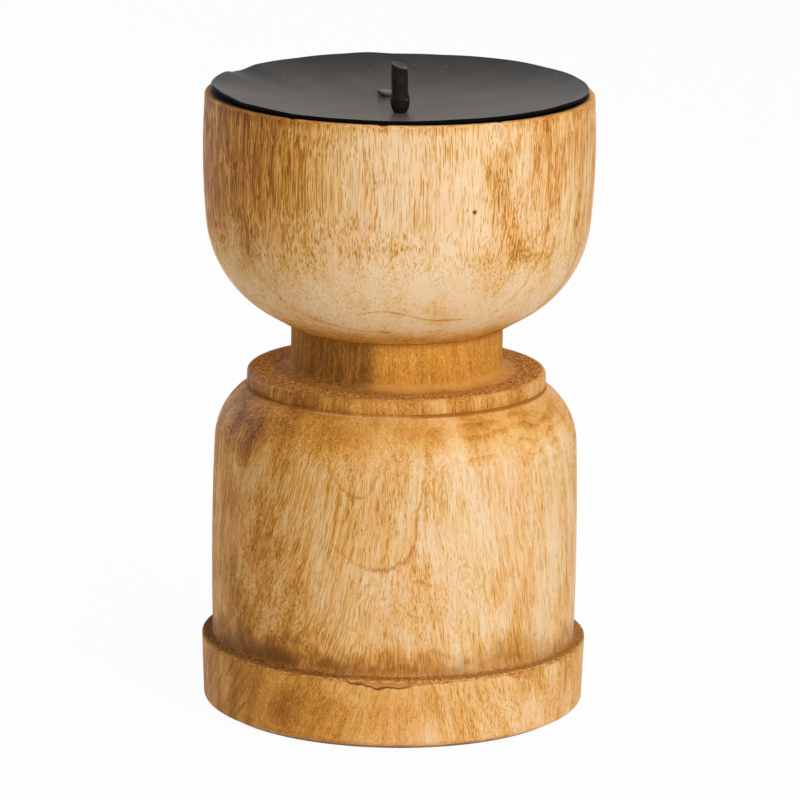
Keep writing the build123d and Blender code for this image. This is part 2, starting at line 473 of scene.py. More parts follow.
def makeBaseWood():
    stuff, skin, spot = startFinish("baseWood")
    x, y, z = partsOf(spot)
    look, depths, paints = baseLook, baseLook["depths"], basePaints
    ledge, shoulder, collar, neckFoot, joint = baseHeights.values()
    up = minus(z, look["leanHeight"])
    forward = times(up, spread(x, -10.0, 30.0, look["lean"], 0.6 * look["lean"]))
    upright = point(plus(x, times(up, look["sideLean"])), plus(y, forward), z)
    closing = times(up, spread(x, -15.0, 15.0, *look["closing"]), spread(absolute(y), 8.0, 40.0))
    drift = point(times(x, plus(1.0, closing)), plus(y, times(up, look["poreLean"])), z)
    grain = swayed(drift, *look["sway"])
    figure = useGroup(figureGroup, Grain=grain)
    patches, streaks, fibres = figure["Patches"], figure["Streaks"], figure["Fibres"]
    heart = vectors("SUBTRACT", upright, look["heart"])
    rings = useGroup(ringGroup, Heart=heart, Jag=times(fibres, 1.6), **look["years"])
    near = times(spread(rings["Away"], 17.0, 24.0, 1.0, 0.25), spread(z, shoulder + 6.0, shoulder - 1.0),
                 spread(absolute(plus(x, 4.0)), 7.0, 17.0, 1.0, 0.2))
    browner = spotsOf(spot, look["browner"])
    paler = spotsOf(spot, look["paler"])
    # darker towards the left: partly the wood's tone, partly painted shade on the side away from the lamps
    left = spread(plus(x, sway(patches, 40.0)), 12.0, -40.0)

    # the shoulder cuts the fibres across, and the foot is sandier
    crossed = spread(z, shoulder, shoulder + 9.0, 1.0, spread(x, -28.0, -6.0, 0.9, 0.6))
    calm = times(spread(z, ledge, ledge - 0.4), spread(x, 0.0, 28.0, -0.5, -0.1))
    sidelong = plus(crossed, times(spread(z, collar - 0.3, collar + 0.5), 0.35), calm)
    crowd = plus(spread(patches, 0.35, 0.65, 0.36, 0.60), spread(rings["Phase"], 0.0, 1.0, 0.12, -0.06),
                 times(browner, 0.15), times(paler, -0.4))
    fine = useGroup(lineGroup, Grain=grain, Amount=crowd, **look["fine"])
    drawn = useGroup(lineGroup, Grain=grain, Amount=plus(0.24, times(left, 0.26)), **look["drawn"])
    pores = most(fine["Lines"], times(drawn["Lines"], 0.75), times(drawn["Hairs"], 0.5))
    pores = times(pores, sidelong)
    flecks = grainNoise(stretch(spot, 3.0, 3.0, 1.8), 1.0, 2.0, 0.6)

    # year rings cut by the curve of the shoulder, and slanting streaks on the left of the foot
    tilted = plus(z, times(x, -0.22), times(grainNoise(spot, 0.06, 2.0), 16.0), times(fibres, 0.5))
    steps = calc("FRACT", times(tilted, 0.27))
    terrace = times(spread(steps, 0.35, 0.93), spread(steps, 1.0, 0.95),
                    spread(z, shoulder - 4.0, shoulder + 3.0), spread(z, collar - 0.5, collar - 1.9),
                    spread(x, 4.0, 24.0), spread(patches, 0.3, 0.6))
    slanting = point(plus(times(z, 0.55), times(y, 0.75)), times(z, 0.06))
    slant = times(spread(grainNoise(slanting, 0.9, 3.0, 0.65), 0.50, 0.66),
                  spread(x, -30.0, -42.0), spread(z, ledge - 0.3, ledge - 1.1))
    depth = plus(look["tone"], times(left, depths["left"]), sway(patches, depths["patches"]),
                 times(sway(streaks, depths["streaks"]), sidelong),
                 times(terrace, depths["terrace"]), times(slant, depths["slant"]),
                 times(sway(fibres, depths["fibres"]), sidelong),
                 times(sway(flecks, 1.0), spread(z, ledge, ledge - 0.4, *depths["flecks"])),
                 times(rings["Phase"], near, depths["years"]), times(browner, depths["browner"]),
                 times(paler, depths["paler"]), times(pores, depths["pores"]),
                 spread(z, shoulder, shoulder + 11.0, 0.0, depths["shoulder"]),
                 spread(z, collar - 0.5, collar + 0.1, 0.0, depths["collar"]),
                 spread(z, ledge + 0.4, ledge - 0.6, 0.0, depths["foot"]),
                 # painted shade along the bottom edge, where it meets the floor
                 spread(z, 1.8, 0.4, 0.0, depths["floor"]))
    colour = blend(times(rings["Line"], near, 0.8), toned(depth, spot, 0.07), paints["redLine"])

    # amber neck, its left side of darker wood
    neck = spread(z, neckFoot - 0.4, neckFoot + 0.6)
    darker = times(spread(plus(x, sway(streaks, 6.0)), -3.6, -7.8), spread(x, -27.0, -18.0, 0.7, 0.95))
    coarse = spread(grainNoise(stretch(spot, 3.8, 3.8, 0.6), 1.0, 3.0, 0.7), 0.36, 0.66)
    coarse = plus(times(coarse, 0.6), times(spread(streaks, 0.4, 0.65), 0.35))
    amber = blend(coarse, paints["amber"], paints["umber"])
    amber = blend(times(darker, spread(coarse, 0.0, 0.7, 0.55, 1.0)), amber, paints["stain"])
    # pale specks on the neck: torn fibres, partly painted glints where light catches them
    glint = spread(grainNoise(stretch(grain, 3.2, 3.2, 1.1), 1.0, 2.0), 0.54, 0.68)
    amber = blend(times(glint, spread(darker, 0.0, 1.0, 0.6, 0.12)), amber, paints["fresh"])
    colour = blend(times(neck, 0.92), colour, amber)
    # painted light: the fillet at the neck's foot is paler on the right, where light falls on it
    litFlare = times(neck, spread(z, neckFoot + 2.3, neckFoot + 0.9), spread(x, -16.0, 0.0, 0.0, 0.6))
    colour = blend(litFlare, colour, paints["litFlare"])
    # painted shade: the top of the neck darker just under the cup
    colour = blend(spread(z, joint - 1.9, joint - 0.3, 0.0, 0.6), colour, paints["umber"])

    # painted highlight and shade at the groove under the collar: the ridge paler on the left where light
    # catches it, the groove darker on the right
    groove = times(spread(z, collar - 0.3, collar), spread(z, collar + 0.8, collar + 0.5))
    colour = blend(times(groove, spread(x, -2.0, 10.0, 0.2, 0.9)), colour, paints["umber"])
    ridge = times(spread(z, collar - 0.3, collar - 0.16), spread(z, collar + 0.02, collar - 0.1),
                  spread(x, 7.0, 1.0, 0.0, 0.45), spread(x, -27.0, -17.0))
    colour = blend(ridge, colour, paints["ridge"])

    # finish that pooled in the corner of the ledge
    lift = minus(z, ledge)
    cloud = grainNoise(spot, 0.13, 3.0, 0.6)
    pooled = times(spread(lift, -0.35, -0.1), spread(plus(lift, sway(cloud, 22.0)), 9.0, 0.5),
                   spread(x, -45.0, 40.0, 0.95, 0.6))
    deeper = spread(grainNoise(spot, 0.3, 4.0, 0.6), 0.36, 0.62)
    colour = blend(pooled, colour, blend(deeper, paints["pool"], paints["deepPool"]))
    colour = blend(times(pooled, spread(x, -2.0, -24.0, 0.0, 0.6)), colour, paints["leftPool"])
    blot = times(spotsOf(spot, look["blot"]), spread(lift, 0.0, 0.3),
                 spread(plus(cloud, sway(fibres, 0.5)), 0.36, 0.52, 0.35, 1.0))
    colour = blend(blot, colour, paints["blot"])
    # painted shade: dark in the inner corner and on the top of the ledge, more on the left
    step = times(spread(lift, -0.3, -0.05), spread(lift, 0.6, 0.2))
    colour = blend(times(step, spread(x, -20.0, 35.0, 0.92, 0.6)), colour, paints["step"])

    # torn sliver on the front of the ledge
    chip = chipShape
    share = calc("DIVIDE", minus(x, chip["middle"]), chip["half"])
    bow = times(minus(1.0, times(share, share)), plus(times(share, -chip["skew"]), chip["drop"]))
    over = plus(lift, bow, sway(grainNoise(spot, 0.35, 2.0), 1.6))
    front = times(spread(y, -30.0, -40.0), spread(bow, 0.0, 0.3), spread(lift, 0.1, -0.1))
    tear = spread(grainNoise(stretch(spot, 0.35, 0.35, 2.2), 1.0, 3.0, 0.65), 0.40, 0.62)
    tear = blend(tear, paints["chipPale"], paints["chip"])
    colour = blend(times(front, spread(over, -0.1, 0.2), 0.85), colour, tear)
    edge = times(front, spread(absolute(over), 0.42, 0.08),
                 spread(plus(cloud, times(share, -0.15)), 0.36, 0.52))
    colour = blend(times(edge, 0.9), colour, paints["chipEdge"])

    # torn end grain on the collar and along the ledge
    torn = wornMark()
    crumbs = grainNoise(spot, 1.3, 3.0, 0.65)
    crust = blend(spread(crumbs, 0.42, 0.58), paints["crust"], paints["crustPale"])
    crust = blend(spread(grainNoise(spot, 1.4, 1.0), 0.61, 0.66), crust, paints["crustBright"])
    colour = blend(times(torn, 0.9), colour, crust)
    height = plus(times(torn, crumbs, 4.0), times(pores, -1.0))
    dull = most(most(pores, torn), most(neck, groove, step))
    finishWood(skin, colour, height, spread(dull, 0.0, 1.0, 0.48, 0.85))
    return stuff


dowelLook = {
    "tone": 0.2,
    "pores": {"Across": 2.4, "Along": 0.1, "Amount": 0.4},
    "depths": {"streaks": 0.6, "fibres": 0.4, "pores": 0.25},
}


def makeDowelWood():
    stuff, skin, spot = startFinish("dowelWood")
    depths = dowelLook["depths"]
    figure = useGroup(figureGroup, Grain=spot)
    pores = useGroup(lineGroup, Grain=spot, **dowelLook["pores"])["Lines"]
    depth = plus(dowelLook["tone"], sway(figure["Streaks"], depths["streaks"]),
                 sway(figure["Fibres"], depths["fibres"]), times(pores, depths["pores"]))
    colour = useGroup(toneGroup, Depth=depth)["Colour"]
    finishWood(skin, colour, minus(1.0, pores), spread(pores, 0.0, 1.0, 0.6, 0.75))
    return stuff


ironLooks = {
    # the pan's near-black edge colour is painted shade on its cut edge; the spike's and nail's are bare metal
    "panIron": {"dark": rgb(0.007, 0.0065, 0.006), "light": rgb(0.014, 0.013, 0.0118),
                "bare": rgb(0.001, 0.001, 0.001), "rough": 0.36, "waxAndSheen": 1.0},
    "spikeIron": {"dark": rgb(0.004, 0.004, 0.004), "light": rgb(0.009, 0.0085, 0.008),
                  "bare": rgb(0.15, 0.145, 0.125), "rough": 0.55, "waxAndSheen": 0.1},
    "nailIron": {"dark": rgb(0.03, 0.03, 0.03), "light": rgb(0.06, 0.058, 0.055),
                 "bare": rgb(0.20, 0.19, 0.18), "rough": 0.42, "waxAndSheen": 0.3},
}

ironDirtAndSheen = {
    "speck": rgb(0.45, 0.38, 0.30),
    "waxAndSheen": rgb(0.090, 0.072, 0.058),        # old wax, a dull film about the spike, and a painted sheen: it is spread wide to lighten the pan
    "waxAndSheenCentre": (12.0, 13.0, 161.0),       # lands near the axis, the smear shifts it by about 12
    "waxAndSheenSize": (56.0, 50.0, 40.0),
    "waxAndSheenSmear": (24.0, 24.0, 0.0),
}


def makeIron(name):
    stuff, skin, spot = startFinish(name)
    x, y = partsOf(spot)[:2]
    look, dirtAndSheen = ironLooks[name], ironDirtAndSheen
    reach = fromAxis(x, y)
    past = plus(reach, 0.1)
    fan = point(calc("DIVIDE", x, past), calc("DIVIDE", y, past), times(reach, 0.004))
    wiped = grainNoise(fan, 5.0, 4.0, 0.65)     # brush marks run out from the middle
    cloud = blend(0.25, grainNoise(spot, 0.09, 3.0, 0.55), wiped)
    grit = grainNoise(spot, 1.6, 3.0, 0.6)
    dust = addNode("ShaderNodeTexVoronoi", {"Vector": spot, "Scale": 0.5}).outputs
    luck = firstOf("ShaderNodeSeparateColor", {0: dust["Color"]})
    specks = times(spread(dust["Distance"], 0.09, 0.17, 1.0, 0.0), spread(luck, 0.70, 0.98))
    colour = blend(spread(cloud, 0.35, 0.65), look["dark"], look["light"])
    colour = blend(times(specks, 0.4), colour, dirtAndSheen["speck"])
    smear = vectors("MULTIPLY_ADD", grainNoise(spot, 0.06, 2.0, 0.5, "Color"), dirtAndSheen["waxAndSheenSmear"], spot)
    film = useGroup(spotGroup, Spot=smear, Centre=dirtAndSheen["waxAndSheenCentre"], Size=dirtAndSheen["waxAndSheenSize"])["Mask"]
    # partly painted sheen: the film lightens the pan round the spike
    colour = blend(times(film, spread(cloud, 0.3, 0.7, 0.6, 1.0), look["waxAndSheen"]), colour, dirtAndSheen["waxAndSheen"])
    worn = wornMark()
    colour = blend(times(worn, spread(grit, 0.2, 0.45)), colour, look["bare"])
    gloss = plus(spread(cloud, 0.3, 0.7, look["rough"], look["rough"] + 0.06),
                 times(grit, 0.08), times(worn, 0.35))
    dents = firstOf("ShaderNodeBump", {"Strength": 0.15, "Distance": 0.0003, "Height": grit})
    feed(skin, {"Base Color": colour, "Roughness": gloss, "Specular IOR Level": 0.10, "Normal": dents})
    return stuff


cupWood = makeCupWood()
baseWood = makeBaseWood()
dowelWood = makeDowelWood()
panIron, spikeIron, nailIron = [makeIron(name) for name in ironLooks]
print("finishes made")


# the lathe: a curve of (radius, height) points becomes a turned piece

def makeLatheTree():
    tree = openTree(bpy.data.node_groups.new("turnOnLathe", "GeometryNodeTree"))
    socket("Geometry", "Geometry")
    socket("Segments", "Int", value=384)
    socket("Wobble", "Float", value=0.0001)
    socket("Torn Depth", "Float", value=0.0003)
    socket("Material", "Material")
    socket("Geometry", "Geometry", "OUTPUT")
    inside = addNode("NodeGroupInput").outputs
    outline = inside["Geometry"]
    rings = addNode("GeometryNodeAttributeDomainSize", {0: outline}, component="CURVE").outputs["Point Count"]
    columns = plus(inside["Segments"], 1.0)
    sheet = firstOf("GeometryNodeMeshGrid", {"Vertices X": columns, "Vertices Y": rings})
    index = firstOf("GeometryNodeInputIndex")
    row = calc("FLOORED_MODULO", index, rings)
    column = calc("FLOOR", calc("DIVIDE", plus(index, 0.5), rings))

    def onOutline(value, kind):
        values = {"Geometry": outline, "Value": value, "Index": row}
        return firstOf("GeometryNodeSampleIndex", values, data_type=kind, domain="POINT")

    profile = onOutline(firstOf("GeometryNodeInputPosition"), "FLOAT_VECTOR")
    worn = onOutline(firstOf("GeometryNodeInputRadius"), "FLOAT")
    angle = times(calc("DIVIDE", column, inside["Segments"]), 2 * math.pi)
    turned = firstOf("ShaderNodeVectorRotate", {"Vector": profile, "Angle": angle}, rotation_type="Z_AXIS")
    marked = firstOf("GeometryNodeStoreNamedAttribute", {"Geometry": sheet, "Name": "worn", "Value": worn},
                     data_type="FLOAT", domain="POINT")
    shaped = firstOf("GeometryNodeSetPosition", {"Geometry": marked, "Position": turned})
    closed = firstOf("GeometryNodeMergeByDistance", {"Geometry": shaped, "Distance": 0.00001})

    # out of round and plucked fibres, along the normal
    mark = addNode("GeometryNodeInputNamedAttribute", {"Name": "worn"}, data_type="FLOAT")
    slow = firstOf("ShaderNodeTexNoise", {"Scale": 18.0, "Detail": 1.0})
    quick = firstOf("ShaderNodeTexNoise", {"Scale": 800.0, "Detail": 3.0, "Roughness": 0.65})
    push = plus(times(minus(slow, 0.5), inside["Wobble"]),
                times(minus(quick, 0.5), inside["Torn Depth"], mark.outputs["Attribute"]))
    normal = firstOf("GeometryNodeInputNormal")
    offset = firstOf("ShaderNodeVectorMath", {0: normal, "Scale": push}, operation="SCALE")
    moved = firstOf("GeometryNodeSetPosition", {"Geometry": closed, "Offset": offset})
    smooth = firstOf("GeometryNodeSetShadeSmooth", {"Geometry": moved})
    real = firstOf("GeometryNodeRealizeInstances", {0: smooth})
    dressed = firstOf("GeometryNodeSetMaterial", {"Geometry": real, "Material": inside["Material"]})
    addNode("NodeGroupOutput", {"Geometry": dressed})
    return tree


latheTree = makeLatheTree()


def arcPoints(start, heading, end, step):
    # the arc that leaves start along heading and reaches end
    start, run = Vector(start), Vector(end) - Vector(start)
    ahead = Vector(heading).normalized()
    side = Vector((-ahead.y, ahead.x))
    lean = run.dot(side)
    radius = run.length_squared / (2 * lean)
    centre = start + side * radius
    sweep = 2 * math.atan2(lean, run.dot(ahead))
    count = max(2, math.ceil(abs(sweep * radius) / step))
    spoke = start - centre
    turned = []
    for k in range(1, count + 1):
        a = sweep * k / count
        turned.append((centre.x + spoke.x * math.cos(a) - spoke.y * math.sin(a),
                       centre.y + spoke.x * math.sin(a) + spoke.y * math.cos(a)))
    return turned


def headingOnArc(first, middle, last, spot):
    # direction at spot on the circle through three points, walking first to last
    a, b, c = Vector(first), Vector(middle), Vector(last)
    aa, bb, cc = a.length_squared, b.length_squared, c.length_squared
    d = 2 * (a.x * (b.y - c.y) + b.x * (c.y - a.y) + c.x * (a.y - b.y))
    cx = (aa * (b.y - c.y) + bb * (c.y - a.y) + cc * (a.y - b.y)) / d
    cy = (aa * (c.x - b.x) + bb * (a.x - c.x) + cc * (b.x - a.x)) / d
    spoke = Vector(spot) - Vector((cx, cy))
    ahead = Vector((-spoke.y, spoke.x))
    return ahead if ahead.dot(c - a) > 0 else -ahead


class Outline:
    # walks round half a section in millimetres, worn marks the rough rings
    def __init__(self, r, z):
        self.points = [(r, z, 0.0)]

    def here(self):
        return Vector(self.points[-1][:2])

    def line(self, r, z, step=1.5, worn=0.0):
        start, end = self.here(), Vector((r, z))
        count = max(1, math.ceil((end - start).length / step))
        for k in range(1, count + 1):
            self.points.append((*start.lerp(end, k / count), worn))

    def arc(self, heading, r, z, step=0.5, worn=0.0):
        for p in arcPoints(self.here(), heading, (r, z), step):
            self.points.append((*p, worn))

    def corner(self, r, z, nextR, nextZ, radius, step=0.25, worn=0.0, lineStep=1.5):
        # straight on to a rounded corner that turns towards the next point
        corner = Vector((r, z))
        ahead = (corner - self.here()).normalized()
        after = (Vector((nextR, nextZ)) - corner).normalized()
        back = radius * math.tan(ahead.angle(after) / 2)
        self.line(*(corner - ahead * back), lineStep, worn)
        self.arc(ahead, *(corner + after * back), step, worn)


def turnPiece(name, outline, finish, segments, wobble=0.0, tornDepth=0.0, shape=None):
    curve = bpy.data.curves.new(name + "Outline", "CURVE")
    curve.dimensions = "3D"
    spline = curve.splines.new("POLY")
    spline.points.add(len(outline.points) - 1)
    for spot, (r, z, worn) in zip(spline.points, outline.points):
        spot.co = (r * mm, 0.0, z * mm, 1.0)
        spot.radius = worn
    holder = addObject(name + "Outline", curve)
    lathe = holder.modifiers.new("lathe", "NODES")
    lathe.node_group = latheTree
    settings = {"Segments": segments, "Wobble": wobble, "Torn Depth": tornDepth, "Material": finish}
    for item in latheTree.interface.items_tree:
        if item.in_out == "INPUT" and item.name in settings:
            lathe[item.identifier] = settings[item.name]
    holder.update_tag()
    mesh = bpy.data.meshes.new_from_object(holder.evaluated_get(bpy.context.evaluated_depsgraph_get()))
    bpy.data.objects.remove(holder)
    tidy = bmesh.new()
    tidy.from_mesh(mesh)
    bmesh.ops.dissolve_degenerate(tidy, dist=1e-7, edges=tidy.edges)
    bmesh.ops.recalc_face_normals(tidy, faces=tidy.faces)
    tidy.to_mesh(mesh)
    tidy.free()
    if shape:
        for vertex in mesh.vertices:
            vertex.co = shape(vertex.co / mm) * mm
        mesh.update()
    print(name, "turned:", len(mesh.vertices), "points")
    return addObject(name, mesh)


def settle(piece, node):
    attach(piece, "root")
    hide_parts(node)


def ease(low, high, value):
    t = min(1.0, max(0.0, (value - low) / (high - low)))
    return t * t * (3 - 2 * t)


# the pan is part of a ball, as in the frame, with a rim bent here and there

panShape = {
    "radius": (panHigh[0] - panLow[0]) / 2 / mm,
    "rim": panHigh[2] / mm,
    "sheet": 1.0,
    "depth": (panHigh[2] - panLow[2]) / mm - 1.0,
    "rings": 60,
    "spokes": 288,
    "dent": 0.12,           # mm deep
    "dentScale": 0.11,      # per mm
    "dentFree": 10.0,       # mm, they fade out towards the middle
    "wave": 0.004,          # share of the radius, its edge isn't quite round
    "undercut": 0.01,       # and leans in below
    # azimuth in degrees and lift of the rim in millimetres
    "bends": [(0, 0.0), (15, 0.3), (32, 0.5), (58, 0.8), (78, 0.6), (91, 0.5), (101, 0.95), (110, 0.7),
              (128, 0.45), (140, 0.3), (149, -0.35), (153, -0.2), (159, 0.5), (167, 0.5), (178, 0.5),
              (193, 1.35), (205, 1.0), (218, 0.4), (245, -0.1), (270, -0.1), (290, 0.1), (315, 0.35),
              (332, 0.6), (345, 0.4), (360, 0.0)],
}
panShape["ball"] = (panShape["radius"] ** 2 + panShape["depth"] ** 2) / (2 * panShape["depth"])
panShape["floor"] = panShape["rim"] - panShape["depth"]

cupShape = {
    "joint": cupLow[2] / mm,
    "rim": cupHigh[2] / mm,
    "radius": (cupHigh[0] - cupLow[0]) / 2 / mm,
    "widestDrop": 13.0,
    "rimDrawIn": 0.4,
    "rimEdge": 0.8,
    "wallHeight": 33.0,
    "wallDrawIn": 0.98,
    "footEdge": 28.2,
    "footRounding": 0.25,
    "undersideWidth": 6.2,
    "undersideHeight": 3.6,
    "seatGap": 0.05,
    "wobble": 0.0001,
    "segments": 480,
    # chips on the rim: azimuth in degrees, half width and depth in millimetres
    "chips": [(236.5, 1.3, 0.5), (265.2, 1.6, 0.45), (301.0, 1.0, 0.3), (150.0, 1.5, 0.4), (62.0, 1.2, 0.35)],
    "chipDrop": (2.2, 0.4),         # they start and are full this far below the rim
    "chipReach": (46.5, 48.5),      # and this far out
    "chipFall": 0.6,
}


def chipRim(p):
    c = cupShape
    low, full = c["chipDrop"]
    fall = ease(c["rim"] - low, c["rim"] - full, p.z) * ease(*c["chipReach"], math.hypot(p.x, p.y))
    for azimuth, half, depth in c["chips"]:
        a = math.radians(azimuth)
        side = abs(p.y * math.cos(a) - p.x * math.sin(a))
        if p.x * math.cos(a) + p.y * math.sin(a) > 0:
            sunk = depth * fall * (1 - ease(0.2 * half, half, side))
            p = p - Vector((math.cos(a), math.sin(a), c["chipFall"])) * sunk
    return p


def makeCup():
    c = cupShape
    rim = (c["radius"] - c["rimDrawIn"], c["rim"])
    widest = (c["radius"], c["rim"] - c["widestDrop"])
    wallFoot = (c["radius"] - c["wallDrawIn"], c["rim"] - c["wallHeight"])
    turnEnd = (c["footEdge"] + c["undersideWidth"], c["joint"] + c["undersideHeight"])
    upWall = headingOnArc(wallFoot, widest, rim, wallFoot)
    o = Outline(0.0, c["joint"])
    o.line(c["footEdge"] - 3.0, c["joint"], 6.0)
    o.corner(c["footEdge"], c["joint"], *turnEnd, c["footRounding"])
    o.line(*turnEnd, 1.0)
    for p in reversed([wallFoot] + arcPoints(wallFoot, -upWall, turnEnd, 1.0)[:-1]):
        o.points.append((*p, 0.0))
    o.arc(upWall, rim[0] + 0.08, rim[1] - 3.0, 1.4)
    o.line(rim[0] + 0.02, rim[1] - c["rimEdge"], 0.4)
    o.arc((0.0, 1.0), rim[0] - c["rimEdge"], rim[1], 0.2)
    seatBall = panShape["ball"] + panShape["sheet"] + c["seatGap"]
    seatFloor = panShape["floor"] - panShape["sheet"] - c["seatGap"]
    drop = seatFloor + seatBall - rim[1]
    seatEdge = math.sqrt(seatBall ** 2 - drop ** 2)
    o.line(seatEdge, rim[1], 0.3)
    o.arc((-drop, -seatEdge), 0.0, seatFloor, 2.0)
    piece = turnPiece("turnedCup", o, cupWood, c["segments"], c["wobble"], shape=chipRim)
    settle(piece, "cup")


# the heights are in baseHeights, beside the wood

baseShape = {
    "foot": (baseHigh[0] - baseLow[0]) / 2 / mm,
    "footDraft": 0.6,
    "easeWidth": 3.6,
    "easeHeight": 1.9,
    "easeRadius": 1.6,
    "ledgeWidth": 2.8,
    "ledgeEdge": 0.5,
    "ledgeCove": 0.6,
    "ledgeWorn": (0.7, 0.35),       # roughness of its edge and of its top
    "swell": 0.35,
    "taper": 0.2,
    "groove": 0.5,
    "grooveWidth": 0.8,
    "collarRadius": 38.3,
    "collarEdge": 1.0,
    "collarWorn": (0.2, 1.0),
    "smoothRing": 2.2,              # between the torn ring and the neck's fillet
    "neckRadius": 27.1,
    "neckFillet": 2.2,
    "neckEdge": 0.25,
    "wobble": 0.00015,
    "tornDepth": 0.0006,
    "segments": 540,
}


def chipLedge(p):
    # a sliver has come off the front of the foot's upper edge
    c = chipShape
    reach = math.hypot(p.x, p.y)
    share = (p.x - c["middle"]) / c["half"]
    if p.y > 0 or abs(share) > 1 or reach < baseShape["foot"] - 0.9 or p.z < 12.0:
        return p
    ragged = 0.8 * noise.noise(p * 0.35)
    over = p.z - baseHeights["ledge"] + (c["drop"] - c["skew"] * share) * (1 - share * share) + ragged
    sunk = c["depth"] * ease(0.0, 0.5, over) * ease(0.0, 0.2, 1 - abs(share))
    return p - Vector((p.x, p.y, 0.0)) / reach * sunk


def makeBase():
    b = baseShape
    ledge, shoulder, collar, neckFoot, joint = baseHeights.values()
    floorRadius = b["foot"] - b["footDraft"]
    barrelFoot = (b["foot"] - b["ledgeWidth"], ledge)
    barrelTop = (barrelFoot[0] - b["taper"], shoulder)
    barrelMiddle = (barrelFoot[0] + b["swell"], (ledge + shoulder) / 2)
    o = Outline(0.0, 0.0)
    o.line(floorRadius - b["easeWidth"], 0.0, 8.0)
    o.corner(floorRadius, b["easeHeight"], b["foot"], ledge, b["easeRadius"], 0.3)
    o.line(b["foot"] - 0.1, ledge - 3.0)
    o.line(b["foot"] - 0.03, ledge - 0.8, 0.4)
    o.corner(b["foot"], ledge, *barrelFoot, b["ledgeEdge"], 0.15, b["ledgeWorn"][0], 0.2)
    o.corner(*barrelFoot, barrelFoot[0], ledge + 5.0, b["ledgeCove"], 0.15, b["ledgeWorn"][1], 0.3)
    o.arc(headingOnArc(barrelFoot, barrelMiddle, barrelTop, o.here()), *barrelTop, 1.3)
    o.arc(headingOnArc(barrelFoot, barrelMiddle, barrelTop, barrelTop), b["collarRadius"], collar, 0.6)
    o.line(b["collarRadius"] - b["groove"], collar + b["grooveWidth"] / 2, 0.3)
    o.line(b["collarRadius"], collar + b["grooveWidth"], 0.3)
    o.corner(b["collarRadius"], neckFoot, b["neckRadius"], neckFoot, b["collarEdge"], 0.2, b["collarWorn"][0])
    o.line(b["neckRadius"] + b["neckFillet"] + b["smoothRing"], neckFoot, 0.3, b["collarWorn"][1])
    o.corner(b["neckRadius"], neckFoot, b["neckRadius"], joint, b["neckFillet"], 0.35)
    o.corner(b["neckRadius"], joint, 0.0, joint, b["neckEdge"])
    o.line(0.0, joint, 8.0)
    piece = turnPiece("turnedBase", o, baseWood, b["segments"], b["wobble"], b["tornDepth"], chipLedge)
    settle(piece, "base")


makeCup()
makeBase()


def rimLift(azimuth):
    for (a, low), (b, high) in zip(panShape["bends"], panShape["bends"][1:]):
        if a <= azimuth <= b:
            return low + (high - low) * ease(a, b, azimuth)


def panPoint(reach, turn, drop):
    # a place on the sheet, drop below its upper side
    p = panShape
    out = reach / p["radius"]
    x, y = reach * math.cos(turn), reach * math.sin(turn)
    z = p["floor"] + p["ball"] - math.sqrt(p["ball"] ** 2 - reach ** 2) - drop
    bent = rimLift(math.degrees(turn)) * out ** 5
    beaten = p["dent"] * noise.noise(Vector((x, y, 3.0)) * p["dentScale"]) * min(1.0, reach / p["dentFree"])
    uneven = noise.noise(Vector((math.cos(turn) * 3, math.sin(turn) * 3, 7.0)))
    wave = 1 + p["wave"] * uneven * out ** 4 - p["undercut"] * drop * out ** 9
    return (x * wave * mm, y * wave * mm, (z + bent + beaten) * mm)


def makeBeatenPan():
    p = panShape
    n = p["spokes"]
    build = bmesh.new()
    sheets = []
    for drop in (0.0, p["sheet"]):
        grid = []
        for i in range(p["rings"] + 1):
            reach = p["radius"] * math.sin(0.5 * math.pi * i / p["rings"])   # closer rings near the rim
            turns = [2 * math.pi * k / n for k in range(n if i else 1)]
            grid.append([build.verts.new(panPoint(reach, turn, drop)) for turn in turns])
        sheets.append(grid)
    for grid, up in ((sheets[0], True), (sheets[1], False)):
        for k in range(n):
            fan = [grid[0][0], grid[1][k], grid[1][(k + 1) % n]]
            build.faces.new(fan if up else fan[::-1])
            for i in range(1, p["rings"]):
                quad = [grid[i][k], grid[i + 1][k], grid[i + 1][(k + 1) % n], grid[i][(k + 1) % n]]
                build.faces.new(quad if up else quad[::-1])
    for k in range(n):
        top, under = sheets[0][-1], sheets[1][-1]
        build.faces.new((top[k], under[k], under[(k + 1) % n], top[(k + 1) % n]))
    mesh = bpy.data.meshes.new("beatenPan")
    build.to_mesh(mesh)
    build.free()
    for face in mesh.polygons[:-n]:
        face.use_smooth = True
    mesh.materials.append(panIron)
    # painted shade: the cut edge of the sheet is marked to take the near-black edge colour
    worn = mesh.attributes.new("worn", "FLOAT", "POINT")
    for face in mesh.polygons[-n:]:
        for corner in face.vertices:
            worn.data[corner].value = 1.0       # the cut edge is blacker
    settle(addObject("beatenPan", mesh), "drip_pan")
    print("pan beaten:", len(mesh.vertices), "points")


makeBeatenPan()

spikeShape = {
    "foot": panShape["floor"],
    "height": spikeHigh[2] / mm - panShape["floor"],
    "radius": 2.1,
    "cutDrop": 1.4,         # the cut end falls to the right
    "cutFront": 0.25,       # and a little to the front
    "rivet": (2.4, 1.3),    # peened head under the pan
    "tail": 1.2,
    "seat": 0.02,           # clear of the pan
    "lean": -0.03,          # to the left going up
    "aside": 0.1,
    "hammered": 0.07,
    "segments": 72,
    # height and radius up the hammered bulge
    "bulge": [(1.2, 2.2), (2.0, 2.38), (2.8, 2.44), (3.6, 2.38), (4.4, 2.24), (5.2, 2.12)],
    # in from the radius, down from the top, step, and how bare the cut is
    "cap": [(0.02, 0.35, 0.4, 0.0), (0.06, 0.12, 0.2, 0.6), (0.24, 0.01, 0.2, 1.0), (0.5, 0.0, 0.3, 0.8)],
}


